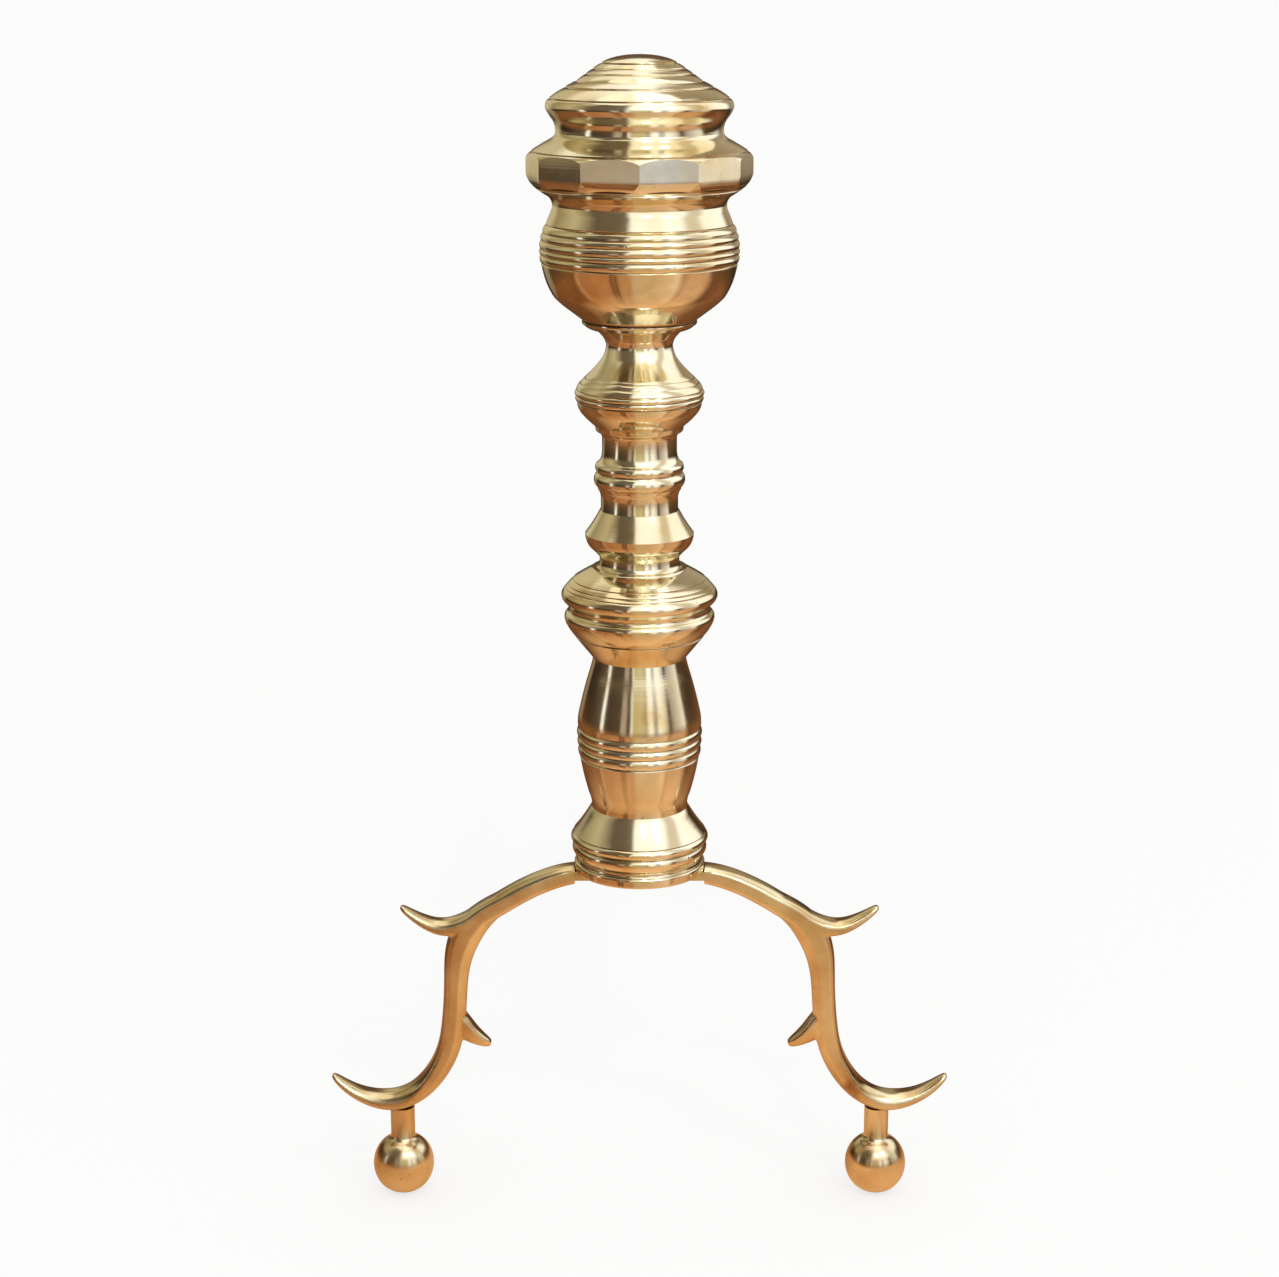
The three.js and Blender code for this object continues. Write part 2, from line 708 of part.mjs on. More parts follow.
// A tapered iron leg with a shoulder and tenon at the top, forged out into a flat round foot.
function makeRearLeg() {
  const { topWidth, topDepth, ankleWidth, ankleDepth, footRadius, footThickness, tenonRadius } = rearLeg;
  const shoulder = barBottom - fitGap;
  const shank = sweptBar([
    [0, shoulder, topWidth, topDepth],
    [0, shoulder * 0.7, topWidth * 0.87, topDepth * 0.85],
    [0, shoulder * 0.16, ankleWidth, ankleDepth],
    [0, footThickness * 0.5, footRadius * 1.2, footRadius * 1.2],
  ], 8, rearLeg.section);
  const penny = turn([
    point(0, 0),
    point(footRadius - 1, 0),
    point(footRadius, 1),
    point(footRadius - 0.6, footThickness - 1.4),
    point(footRadius * 0.6, footThickness),
    point(0, footThickness),
  ], slenderSides);
  return geometryOf(shank.add(solidOf(penny)).add(pin(tenonRadius, shoulder - 2, barTop - fitGap)));
}

// ---------------------------------------------------------------- assembly

const column = new THREE.Group();
column.add(
  piece('base_plate', makeBasePlate(), castBrass, basePlate.underside),
  piece('plinth', makePlinth(), polishedBrass, plinthSeat),
  piece('barrel', makeBarrel(), polishedBrass, barrelSeat),
  piece('double_disc', makeDoubleDisc(), polishedBrass, discSeat),
  piece('lower_knob', makeLowerKnob(), polishedBrass, lowerKnobSeat),
  piece('lower_sleeve', makeLowerSleeve(), polishedBrass, lowerSleeveSeat),
  piece('upper_sleeve', makeUpperSleeve(), polishedBrass, upperSleeveSeat),
  piece('upper_knob', makeUpperKnob(), polishedBrass, upperKnobSeat),
  piece('bowl_collar', makeBowlCollar(), polishedBrass, collarSeat),
  piece('finial_bowl', makeBowl(), polishedBrass, bowlSeat),
  piece('faceted_belt', makeBelt(), polishedBrass, beltSeat),
  piece('finial_dome', makeDome(), polishedBrass, domeSeat),
);

const legs = new THREE.Group();
for (const [side, turnAngle] of [['right', 0], ['left', Math.PI]]) {
  const support = new THREE.Group();
  support.rotation.z = turnAngle;
  const ballFoot = piece(`${side}_foot`, makeFoot(), castBrass);
  ballFoot.position.x = foot.reach;
  const legRivet = piece(`${side}_leg_rivet`, makeRivet(), castBrass);
  legRivet.position.x = rivetReach;
  support.add(piece(`${side}_leg`, makeLeg(), castBrass), ballFoot, legRivet);
  legs.add(support);
}

const ironwork = new THREE.Group();
const backLeg = piece('rear_leg', makeRearLeg(), forgedIron);
backLeg.position.y = rearLeg.position;
ironwork.add(
  piece('tie_rod', makeTieRod(), forgedIron),
  piece('billet_bar', makeBilletBar(), forgedIron),
  backLeg,
);

const andiron = new THREE.Group();
andiron.add(column, legs, ironwork);

// The part's origin is on the hearth, under the middle of its box
const box = new THREE.Box3().setFromObject(andiron);
const middle = box.getCenter(new THREE.Vector3());
andiron.position.set(-middle.x, -middle.y, -box.min.z);

const group = new THREE.Group();
group.add(andiron);

export default group;
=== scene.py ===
# %% [markdown]
# # A brass andiron, turned and cast
# An andiron is one of a pair of stands that hold burning logs off the hearth. This one is a stack of
# hollow turned brass castings on an iron rod, two cast legs with spurs, two ball feet, and an iron bar
# behind that carries the wood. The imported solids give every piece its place. Each brass piece is
# modelled again here, finer, and takes the place of its solid.

# %% The frame
import math

import bmesh
import bpy
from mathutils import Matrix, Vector, noise


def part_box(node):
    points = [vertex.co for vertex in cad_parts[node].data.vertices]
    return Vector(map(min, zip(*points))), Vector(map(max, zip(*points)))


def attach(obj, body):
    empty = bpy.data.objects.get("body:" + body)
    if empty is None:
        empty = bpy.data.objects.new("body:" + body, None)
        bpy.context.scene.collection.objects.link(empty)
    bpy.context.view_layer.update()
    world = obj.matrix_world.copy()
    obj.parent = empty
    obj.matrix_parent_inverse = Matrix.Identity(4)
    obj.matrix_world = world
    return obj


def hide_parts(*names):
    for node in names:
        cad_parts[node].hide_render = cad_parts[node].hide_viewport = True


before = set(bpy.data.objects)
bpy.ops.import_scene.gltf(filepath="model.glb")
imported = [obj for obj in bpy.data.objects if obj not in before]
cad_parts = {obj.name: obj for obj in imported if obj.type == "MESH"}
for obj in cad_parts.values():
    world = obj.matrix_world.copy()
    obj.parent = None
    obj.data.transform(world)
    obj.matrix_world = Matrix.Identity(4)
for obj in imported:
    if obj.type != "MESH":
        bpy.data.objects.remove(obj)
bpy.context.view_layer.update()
plate_low, plate_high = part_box("base_plate")
column_y = (plate_low.y + plate_high.y) / 2

# %% [markdown]
# ## Working in millimetres
# The sizes are written in millimetres, as on a drawing, and are turned to metres where a mesh is made.
# Operators act on all that is selected, and loading leaves the solids selected, so every piece starts
# with nothing selected. A finished piece replaces its solid, rides on the one rigid body and takes the
# finish it is given.

# %% Starting and finishing a piece
MM = 0.001


def start():
    if bpy.context.object and bpy.context.object.mode != "OBJECT":
        bpy.ops.object.mode_set(mode="OBJECT")
    bpy.ops.object.select_all(action="DESELECT")


def apply_modifier(piece, kind, **settings):
    start()
    bpy.context.view_layer.objects.active = piece
    piece.select_set(True)
    modifier = piece.modifiers.new(kind.title(), kind)
    for setting, value in settings.items():
        setattr(modifier, setting, value)
    bpy.ops.object.modifier_apply(modifier=modifier.name)


def finish_piece(piece, name, solid, material, crease=32):
    start()
    bpy.context.view_layer.objects.active = piece
    piece.select_set(True)
    bpy.ops.object.transform_apply(location=True, rotation=True, scale=True)
    bpy.ops.object.shade_smooth_by_angle(angle=math.radians(crease))
    piece.name = piece.data.name = name
    piece.data.materials.clear()
    piece.data.materials.append(material)
    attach(piece, "root")
    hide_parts(solid)
    print(name, len(piece.data.polygons), "faces")
    return piece


def copy_of(piece):
    """A copy with a mesh of its own."""
    start()
    bpy.context.view_layer.objects.active = piece
    piece.select_set(True)
    bpy.ops.object.duplicate()
    return bpy.context.object


# %% [markdown]
# ## Colour and nodes
# Colours are written as the hex values that a picture editor shows, and one function turns them to the
# linear values that the renderer works in. One more function adds a node with its settings and links.

# %% Colour and node helpers
def linear(hex_colour):
    channels = [int(hex_colour[i:i + 2], 16) / 255 for i in (1, 3, 5)]
    return tuple(c / 12.92 if c <= 0.04045 else ((c + 0.055) / 1.055) ** 2.4 for c in channels) + (1.0,)


def add(tree, kind, inputs=None, stops=None, **settings):
    """One node. An input is a value, or (node, output name) to link from. Stops fill a colour ramp."""
    made = tree.nodes.new("ShaderNode" + kind)
    for setting, value in settings.items():
        setattr(made, setting, value)
    for socket, value in (inputs or {}).items():
        if isinstance(value, tuple) and isinstance(value[0], bpy.types.Node):
            tree.links.new(value[0].outputs[value[1]], made.inputs[socket])
        else:
            made.inputs[socket].default_value = value
    if stops:
        ramp = made.color_ramp.elements
        while len(ramp) < len(stops):
            ramp.new(0.5)
        for element, (position, colour) in zip(ramp, stops):
            element.position = position
            element.color = linear(colour)
    return made


def new_material(name):
    material = bpy.data.materials.new(name)
    material.use_nodes = True
    material.node_tree.nodes.clear()
    return material, material.node_tree


# %% [markdown]
# ## Brass
# The brass is yellow brass, cast, turned and polished by hand. Its colour is nearly all in what it
# mirrors, so the finish needs a clean, smooth metal with the small faults of age: patches that are a
# little deeper in tone, brown tarnish that the cloth doesn't reach in the grooves, fine pits from the
# casting, and a surface that isn't quite true, which bends the reflections. The turned pieces have the
# brightest polish, and the legs are softer and more stained.

# %% Brass finishes
def brass(name, bright, deep, mark, tarnish, roughness, stain, wobble, lines):
    material, tree = new_material(name)
    place = add(tree, "TexCoord")
    # Patches about 25 mm across
    patches = add(tree, "TexNoise", {"Vector": (place, "Object"), "Scale": 40.0, "Detail": 4.0})
    tone = add(tree, "ValToRGB", {"Fac": (patches, "Fac")}, stops=[(0.27, mark), (0.37, deep), (0.62, bright)])
    # Tarnish within 3 mm of an inside corner
    crease = add(tree, "AmbientOcclusion", {"Distance": 3 * MM}, samples=8)
    hold = add(tree, "MapRange", {"Value": (crease, "AO"), 1: 0.35, 2: 0.85, 3: stain, 4: 0.0})
    dull = add(tree, "Mix", {0: (hold, "Result"), 6: (tone, "Color"), 7: linear(tarnish)}, data_type="RGBA")
    # Pits half a millimetre across, a few to the square centimetre
    pits = add(tree, "TexVoronoi", {"Vector": (place, "Object"), "Scale": 170.0})
    spots = add(tree, "MapRange", {"Value": (pits, "Distance"), 1: 0.04, 2: 0.085, 3: 0.75, 4: 0.0})
    where = add(tree, "TexNoise", {"Vector": (place, "Object"), "Scale": 65.0, "Detail": 1.0})
    some = add(tree, "MapRange", {"Value": (where, "Fac"), 1: 0.52, 2: 0.6, 3: 0.0, 4: 1.0})
    pitted = add(tree, "Math", {0: (spots, "Result"), 1: (some, "Result")}, operation="MULTIPLY")
    colour = add(tree, "Mix", {0: (pitted, "Value"), 6: (dull, 2), 7: linear("#4A2C14")}, data_type="RGBA")
    # Polishing haze, in finer patches
    haze = add(tree, "TexNoise", {"Vector": (place, "Object"), "Scale": 150.0, "Detail": 5.0})
    rough = add(tree, "MapRange", {"Value": (haze, "Fac"), 1: 0.3, 2: 0.7, 3: roughness * 0.7, 4: roughness * 1.4})
    rougher = add(tree, "Math", {0: (hold, "Result"), 1: 0.25, 2: (rough, "Result")}, operation="MULTIPLY_ADD")
    swell = add(tree, "TexNoise", {"Vector": (place, "Object"), "Scale": 70.0, "Detail": 1.0})
    bent = add(tree, "Bump", {"Height": (swell, "Fac"), "Strength": wobble, "Distance": 0.4 * MM})
    # Lines of the turning tool, half a millimetre apart: a noise squeezed flat
    squeezed = add(tree, "Mapping", {"Vector": (place, "Object"), "Scale": (20.0, 20.0, 2000.0)})
    tool = add(tree, "TexNoise", {"Vector": (squeezed, "Vector"), "Scale": 1.0, "Detail": 2.0})
    lined = add(tree, "Bump", {
        "Height": (tool, "Fac"), "Strength": lines, "Distance": 0.07 * MM, "Normal": (bent, "Normal"),
    })
    pitting = add(tree, "Bump", {
        "Height": (pitted, "Value"), "Strength": 0.5, "Distance": 0.15 * MM, "Normal": (lined, "Normal"),
    }, invert=True)
    metal = add(tree, "BsdfPrincipled", {
        "Base Color": (colour, 2), "Metallic": 1.0, "Roughness": (rougher, "Value"), "Normal": (pitting, "Normal"),
    })
    add(tree, "OutputMaterial", {"Surface": (metal, "BSDF")})
    return material


turned_brass = brass("polished_turned_brass", "#FAF2D8", "#F3E3BC", "#E2C48E", "#75461E", 0.12, 0.8, 0.35, 0.3)
cast_brass = brass("hand_polished_cast_brass", "#EFE1BC", "#D8BC8C", "#A37546", "#5E3A1C", 0.2, 0.95, 0.6, 0.0)
print("finishes:", turned_brass.name, cast_brass.name)

# %% [markdown]
# ## Forged iron
# The bar, the rear leg and the rod are wrought iron that has been through many fires: nearly black, dull
# and scaled, with a trace of rust. Scale is a thin crust of oxide with a grain of one to two millimetres,
# which gives both the tone and the bump.

# %% Iron finish
forged_iron, iron_tree = new_material("forged_iron")
iron_place = add(iron_tree, "TexCoord")
scale = add(iron_tree, "TexNoise", {"Vector": (iron_place, "Object"), "Scale": 480.0, "Detail": 6.0})
rust = add(iron_tree, "TexNoise", {"Vector": (iron_place, "Object"), "Scale": 60.0, "Detail": 5.0})
iron_tone = add(iron_tree, "ValToRGB", {"Fac": (scale, "Fac")}, stops=[(0.35, "#2B2724"), (0.7, "#514A44")])
rust_share = add(iron_tree, "MapRange", {"Value": (rust, "Fac"), 1: 0.56, 2: 0.72, 3: 0.0, 4: 0.6})
iron_colour = add(iron_tree, "Mix", {
    0: (rust_share, "Result"), 6: (iron_tone, "Color"), 7: linear("#5E3A26"),
}, data_type="RGBA")
iron_rough = add(iron_tree, "MapRange", {"Value": (scale, "Fac"), 1: 0.3, 2: 0.7, 3: 0.42, 4: 0.72})
iron_bump = add(iron_tree, "Bump", {"Height": (scale, "Fac"), "Strength": 0.6, "Distance": 0.25 * MM})
iron = add(iron_tree, "BsdfPrincipled", {
    "Base Color": (iron_colour, 2), "Metallic": 0.8, "Roughness": (iron_rough, "Result"),
    "Normal": (iron_bump, "Normal"),
})
add(iron_tree, "OutputMaterial", {"Surface": (iron, "BSDF")})
print("finish:", forged_iron.name)

# %% [markdown]
# ## A lathe
# The column's pieces were cast hollow and turned on a lathe, so each is one outline spun round an axis.
# The outline starts as one corner that is extruded along the drawing and is then spun. A pair of numbers
# in an outline is a straight cut to that radius and height. Four numbers are a curve that bends
# towards the first pair and ends at the second, which is how beads, coves and swells are drawn.

# %% Outline and lathe
def outline(first, *strokes, smooth=7):
    points = [first]
    for stroke in strokes:
        r0, z0 = points[-1]
        if len(stroke) == 2:
            points.append(stroke)
            continue
        rc, zc, r1, z1 = stroke
        for step in range(1, smooth + 1):
            t = step / smooth
            a, b, c = (1 - t) ** 2, 2 * t * (1 - t), t * t
            points.append((a * r0 + b * rc + c * r1, a * z0 + b * zc + c * z1))
    return points


def turn(points, x=0.0, y=None, sides=128):
    y = column_y if y is None else y
    start()
    first = points[0]
    bpy.ops.mesh.primitive_plane_add(size=MM, location=(0, 0, 0))
    piece = bpy.context.object
    bpy.ops.object.mode_set(mode="EDIT")
    bpy.ops.mesh.select_mode(type="VERT")
    bpy.ops.mesh.merge(type="CENTER")
    bpy.ops.transform.translate(value=(x + first[0] * MM, y, first[1] * MM))
    for (r0, z0), (r1, z1) in zip(points, points[1:]):
        step = ((r1 - r0) * MM, 0, (z1 - z0) * MM)
        bpy.ops.mesh.extrude_region_move(TRANSFORM_OT_translate={"value": step})
    bpy.ops.mesh.select_all(action="SELECT")
    bpy.ops.mesh.spin(steps=sides, angle=math.tau, center=(x, y, 0), axis=(0, 0, 1))
    bpy.ops.mesh.select_all(action="SELECT")
    bpy.ops.mesh.remove_doubles(threshold=0.002 * MM)
    bpy.ops.mesh.normals_make_consistent(inside=False)
    bpy.ops.object.mode_set(mode="OBJECT")
    return piece


# %% [markdown]
# ## Castings that stack
# Every casting sits flat on the one below. A low ring on its top, the spigot, centres the next one, and
# a socket underneath takes the spigot from below. The wall is about 3 mm thick and the rod runs
# through the middle. So a casting is its outside, which is drawn for each piece, and an inside that
# follows from the radii of its two seams.

# %% Casting helper
GROOVE = 0.35  # half the width of a scribed line
SPIGOT_RISE = 3.0
LEDGE = 3.0
FIT = 0.3


def scribe(radius, height, after, depth=0.45):
    """A scribed line, cut into the outline at that height."""
    return (radius, height - GROOVE), ((radius + after) / 2 - depth, height), (after, height + GROOVE)


def casting(seam_below, seam_above, outside, hollow=()):
    low, high = outside[0][1], outside[-1][1]
    spigot, bore = seam_above - LEDGE, seam_above - LEDGE - 2.5
    socket, mouth = seam_below - LEDGE + FIT, seam_below - LEDGE - 2.5
    inside = [
        (spigot, high), (spigot, high + SPIGOT_RISE), (bore, high + SPIGOT_RISE),
        *hollow,
        (mouth, low + SPIGOT_RISE + FIT), (socket, low + SPIGOT_RISE + FIT), (socket, low),
    ]
    return turn(outside + inside + [outside[0]])


# %% [markdown]
# ## The plinth and its plate
# The lowest casting is a short cone over two fat beads, with a hollow below them. It stands on a plain
# round plate with softened edges, which the legs are let into.

# %% Plate and plinth
plate = turn(outline(
    (4.8, 156.5), (27.6, 156.5), (28.8, 156.5, 28.8, 157.7), (28.8, 159.8), (28.8, 161, 27.6, 161),
    (24.4, 161), (24.4, 164), (21.9, 164), (21.9, 161), (4.8, 161), (4.8, 156.5),
))
finish_piece(plate, "base_plate_turned", "base_plate", turned_brass)

plinth = casting(27.4, 21.1, outline(
    (27.4, 161), (26.2, 162.6, 28.4, 164.3), (28.5, 164.6), (30.5, 166.9, 28.9, 169.0),
    (28.4, 169.4), (28.9, 169.8), (31.4, 171.8, 29.1, 173.7), (28.7, 174.0), (29.1, 174.4),
    (25.4, 178.8, 21.6, 185.4), (21.1, 186),
), hollow=[(25.5, 169.2)])
finish_piece(plinth, "plinth_turned", "plinth", turned_brass)

# %% [markdown]
# ## The barrel
# The longest casting swells towards the middle and carries a band of three beads round its belly.

# %% Barrel
barrel = casting(21.1, 20.1, outline(
    (21.1, 186), (21.0, 187.6), (21.2, 190, 22.4, 192.8), (24.8, 201.0, 26.0, 208.7),
    (25.5, 209.3), (26.2, 209.7), (27.4, 211.6, 26.4, 213.4), (26.0, 213.8), (26.5, 214.1),
    (27.8, 215.8, 26.6, 217.4), (26.2, 217.8), (26.7, 218.1), (28.0, 219.9, 26.8, 221.8), (26.4, 222.2),
    (26.9, 222.6), (27.2, 226.2, 26.2, 230.0), (24.6, 237.5, 22.3, 245.4), (20.7, 250.4, 20.1, 253.75),
), hollow=[(23, 216)])
finish_piece(barrel, "barrel_turned", "barrel", turned_brass)

# %% [markdown]
# ## The double disc
# Two rims with a groove between them break the column's line. The lower side flares in a straight cone
# with one scribed line, and the upper slope has three fine steps.

# %% Double disc
disc = casting(20.1, 18.4, outline(
    (20.1, 253.75), (27.8, 263.4), *scribe(28.0, 264.0, 28.3), (31.2, 267.6, 32.1, 270.4),
    (32.9, 272.6, 31.6, 273.9), (30.4, 274.6, 30.4, 275.8), (30.6, 277.4, 32.4, 279.0),
    (34.3, 281.0, 33.4, 282.8), (32.9, 283.9, 32.2, 284.5), (31.7, 284.7), (31.8, 285.1), (30.9, 286.0),
    (30.4, 286.2), (30.5, 286.6), (28.8, 288.1), (28.3, 288.3), (28.4, 288.7),
    (24.6, 291.2, 20.6, 293.3), (20.3, 293.75),
), hollow=[(27.4, 275.5)])
finish_piece(disc, "double_disc_turned", "double_disc", turned_brass)

# %% [markdown]
# ## The lower knob and the sleeves
# Above the disc a knob with a crisp edge leads to a plain shaft. The shaft is in two castings that meet
# in the groove of a double bead, where the column visibly parts.

# %% Lower knob and sleeves
lower_knob = casting(18.4, 16.9, outline(
    (18.4, 293.75), (17.2, 294.6, 17.1, 296.9), (17.1, 298.5), (18.3, 300.0, 20.0, 301.6),
    (22.7, 303.7, 23.2, 307.2), (23.3, 308.5), (22.7, 309.3), (19.4, 313.9, 17.3, 318.0), (16.9, 318.75),
))
finish_piece(lower_knob, "lower_knob_turned", "lower_knob", turned_brass)

lower_sleeve = casting(16.9, 18.0, outline(
    (16.7, 318.75), (16.5, 319.7), (16.5, 324.3), (16.7, 326.4, 17.7, 327.7), (17.8, 328.8),
    (18.4, 329.2), (20.3, 331.5, 18.9, 334.2), (18.0, 335),
))
finish_piece(lower_sleeve, "lower_sleeve_turned", "lower_sleeve", turned_brass)

upper_sleeve = casting(18.0, 18.8, outline(
    (17.9, 335), (19.5, 336.6, 18.5, 338.7), (18.0, 339.1), (17.4, 339.6), (16.0, 341.0, 15.9, 344.4),
    (15.9, 350.0), (16.2, 351.9, 17.8, 352.5), (18.4, 352.7, 18.6, 353.4), (18.8, 355),
))
finish_piece(upper_sleeve, "upper_sleeve_turned", "upper_sleeve", turned_brass)

# %% [markdown]
# ## The upper knob
# A reeded rim between a short cone below and a long concave neck above, with two soft steps where the
# neck begins.

# %% Upper knob
upper_knob = casting(18.8, 18.8, outline(
    (18.9, 355), (22.6, 358.1, 24.7, 360.7), (26.2, 362.8, 26.4, 364.9), (26.0, 365.3), (26.6, 365.6),
    (27.5, 366.7, 26.9, 367.7), (26.5, 368.0), (27.0, 368.3), (27.9, 369.2, 26.9, 370.1),
    (26.5, 370.4), (26.7, 370.8), (26.4, 372.2, 25.3, 373.3), (24.9, 373.4), (24.8, 373.8),
    (23.2, 375.5), (22.8, 375.6), (22.6, 376.0), (17.6, 380.6, 15.3, 384.4),
    (14.1, 387.2, 14.0, 389.4), (14.5, 391.6, 15.5, 392.8), (16.6, 394.2, 18.4, 395.75),
), hollow=[(10.8, 389), (17.3, 369)])
finish_piece(upper_knob, "upper_knob_turned", "upper_knob", turned_brass)

# %% [markdown]
# ## The finial
# A thin collar carries the bowl, which has five reeds round its widest part. Above it come the faceted
# belt and the cap.

# %% Collar and bowl
collar = casting(18.8, 23.4, outline(
    (19.2, 395.75), (22.0, 396.3, 23.2, 397.7), (24.4, 398.3, 24.2, 399.25),
))
finish_piece(collar, "bowl_collar_turned", "bowl_collar", turned_brass)

bowl = casting(23.4, 36.2, outline(
    (23.6, 399.25), (24.4, 400.3), (26.6, 401.9, 29.2, 403.9), (33.4, 406.9, 35.8, 409.6),
    (39.2, 414.6, 40.6, 421.6), (40.9, 423.0), (40.5, 423.5), (41.0, 423.9), (42.1, 425.4, 41.3, 426.8),
    (40.9, 427.2), (41.4, 427.5), (42.2, 428.4, 41.4, 429.3), (41.0, 429.6), (41.4, 430.0),
    (42.1, 431.4, 41.2, 432.6), (40.7, 433.0), (41.0, 433.4), (41.6, 434.6, 40.5, 435.7),
    (40.0, 436.1), (40.3, 436.5), (40.5, 437.9, 39.2, 439.0), (38.6, 439.4), (38.8, 439.9),
    (37.3, 443.6, 36.4, 445.6), (36.2, 447.5),
), hollow=[(37.9, 432), (36.9, 418), (17.9, 405.25)])
finish_piece(bowl, "finial_bowl_turned", "finial_bowl", turned_brass)

# %% [markdown]
# ## The faceted belt
# The belt was turned round like the rest, and twelve facets were then filed on it. They follow the
# belt's swell at the foot and run straight up above it. Here a lathe piece of only twelve sides does the
# filing: it cuts the round one. Where a facet runs out into the slope above, its edge is an arc. A
# corner between two facets faces the front.

# %% Belt
belt = casting(36.2, 34.6, outline(
    (36.2, 447.5), (36.5, 449.8, 38.1, 451.1), (40.4, 452.5, 42.0, 453.6), *scribe(42.5, 454.2, 43.2),
    (45.4, 456.2, 46.6, 458.8), (47.4, 461.2, 47.4, 464.2), (47.4, 467.0, 45.6, 468.6),
    *scribe(45.0, 469.3, 44.5), (40.9, 472.0, 37.3, 473.9), (35.0, 475.1, 34.6, 476.75),
), hollow=[(40.4, 466), (40.4, 460.5), (30.7, 453.5)])
FACETS = 12
file_form = turn(outline(
    (0, 440), (70, 440), (70, 455.2), (44.8, 455.4), (46.7, 457.2, 47.0, 460.6), (47.0, 490), (0, 490),
), sides=FACETS)
apply_modifier(belt, "BOOLEAN", operation="INTERSECT", object=file_form, solver="EXACT")
bpy.data.objects.remove(file_form)
finish_piece(belt, "faceted_belt_turned", "faceted_belt", turned_brass, crease=9)

# %% [markdown]
# ## The cap
# The cap flares to a sharp rim and rises in an S to a low button. Fine rings from the turning tool were
# left on its slope. The boss inside it screws on the rod and draws the whole stack together.

# %% Cap
cap_outside = outline(
    (34.6, 476.75), (34.6, 480.4, 36.4, 482.6), (37.9, 484.6, 38.4, 485.8), (38.9, 486.6, 38.8, 487.6),
    (38.6, 489.4, 37.6, 490.1), *scribe(37.3, 490.5, 36.9, 0.3), (34.0, 493.2, 31.0, 494.6),
    *scribe(30.6, 495.0, 30.1, 0.25), (27.0, 497.0), (26.6, 497.1), (26.0, 497.1), (25.6, 497.7),
    (22.6, 499.9), *scribe(22.2, 500.3, 21.7, 0.22), (19.6, 502.0), *scribe(19.2, 502.4, 18.7, 0.2), (16.4, 504.2),
    *scribe(16.0, 504.5, 15.3), (14.8, 505.2), (9.5, 508.0, 0.0, 508.0),
)
cap = turn(cap_outside + [
    (0, 497.55), (4.8, 497.55), (4.8, 479.25), (9, 479.25), (9, 501.6), (19, 496.8), (32.4, 487.2),
    (31.9, 480.05), (31.9, 476.75), (34.6, 476.75),
])
finish_piece(cap, "finial_dome_turned", "finial_dome", turned_brass)

# %% [markdown]
# ## The feet
# Each foot is a ball on a short stem, turned in one. The ball is a little square in the shoulder and
# worn flat where it stands.

# %% Ball feet
FOOT_REACH = 108.0


def ball_foot_outline():
    ball = [(0, 0), (4.6, 0)]
    for degrees in range(-68, 68, 4):
        lean = math.radians(degrees)
        ball.append((13.75 * math.cos(lean) ** 0.86, 13.2 + 13.6 * math.sin(lean)))
    return ball + [(5.9, 26.3), (5.5, 27.0), (5.5, 41.2), (2.5, 41.2), (2.5, 44.7), (0, 44.7)]


ball_foot = turn(ball_foot_outline(), x=FOOT_REACH * MM, sides=64)
left_ball_foot = copy_of(ball_foot)
left_ball_foot.location.x = -2 * FOOT_REACH * MM
finish_piece(ball_foot, "right_foot_turned", "right_foot", cast_brass)
finish_piece(left_ball_foot, "left_foot_turned", "left_foot", cast_brass)

# %% [markdown]
# ## The legs
# A leg is one casting of three bars: an arch that runs out into an upper spur, a stem that ends in a
# spoon-shaped toe, and a thorn on the stem's inner side. A bar could be a curve with a bevel, but its
# thickness and width change apart from each other. So each starts as a many-sided cylinder, cut across
# many times, and every ring of it is carried to its place along the stations of the drawing.

# %% Bars along stations
ARCH = [  # reach from the axis, height, thickness, width from front to back
    (26, 154.5, 8.4, 11), (34, 153.5, 9, 12), (46, 149.2, 9.2, 12), (58, 142.5, 9.6, 12), (69, 135, 9.2, 12),
    (79, 129.4, 8.4, 12), (88, 128, 7, 12), (95, 130.4, 5.6, 10.5), (101, 133.9, 4.2, 8), (105.2, 137, 3, 6),
    (106.4, 137.9, 1.8, 3.4),
]
STEM = [
    (56, 143.4, 7.4, 11.6), (66, 137.2, 9.8, 12), (73.1, 130.9, 12.6, 12), (78.6, 123.2, 14.6, 12),
    (81.3, 114.3, 12.6, 12), (82.4, 102, 10.4, 12), (83, 90, 10.6, 12), (84.4, 76, 10.8, 12),
    (87.6, 65.2, 10, 13), (93.6, 55.2, 9.2, 14.5), (101, 48.2, 9, 15), (109.5, 44.8, 8.8, 15),
    (118.5, 44.8, 7.4, 14), (127, 47.5, 5.8, 11.5), (133.5, 51.5, 4.6, 9), (138, 55.4, 3.2, 6),
    (139.2, 56.6, 1.8, 3.4),
]
THORN = [
    (84.6, 84.2, 13.5, 9.2), (80.8, 80.8, 12.2, 9.2), (76.8, 77.2, 9.2, 9), (72.6, 74.2, 6.8, 7.8),
    (69, 72.4, 4.8, 5.8), (67.2, 71.8, 2.8, 3.6),
]
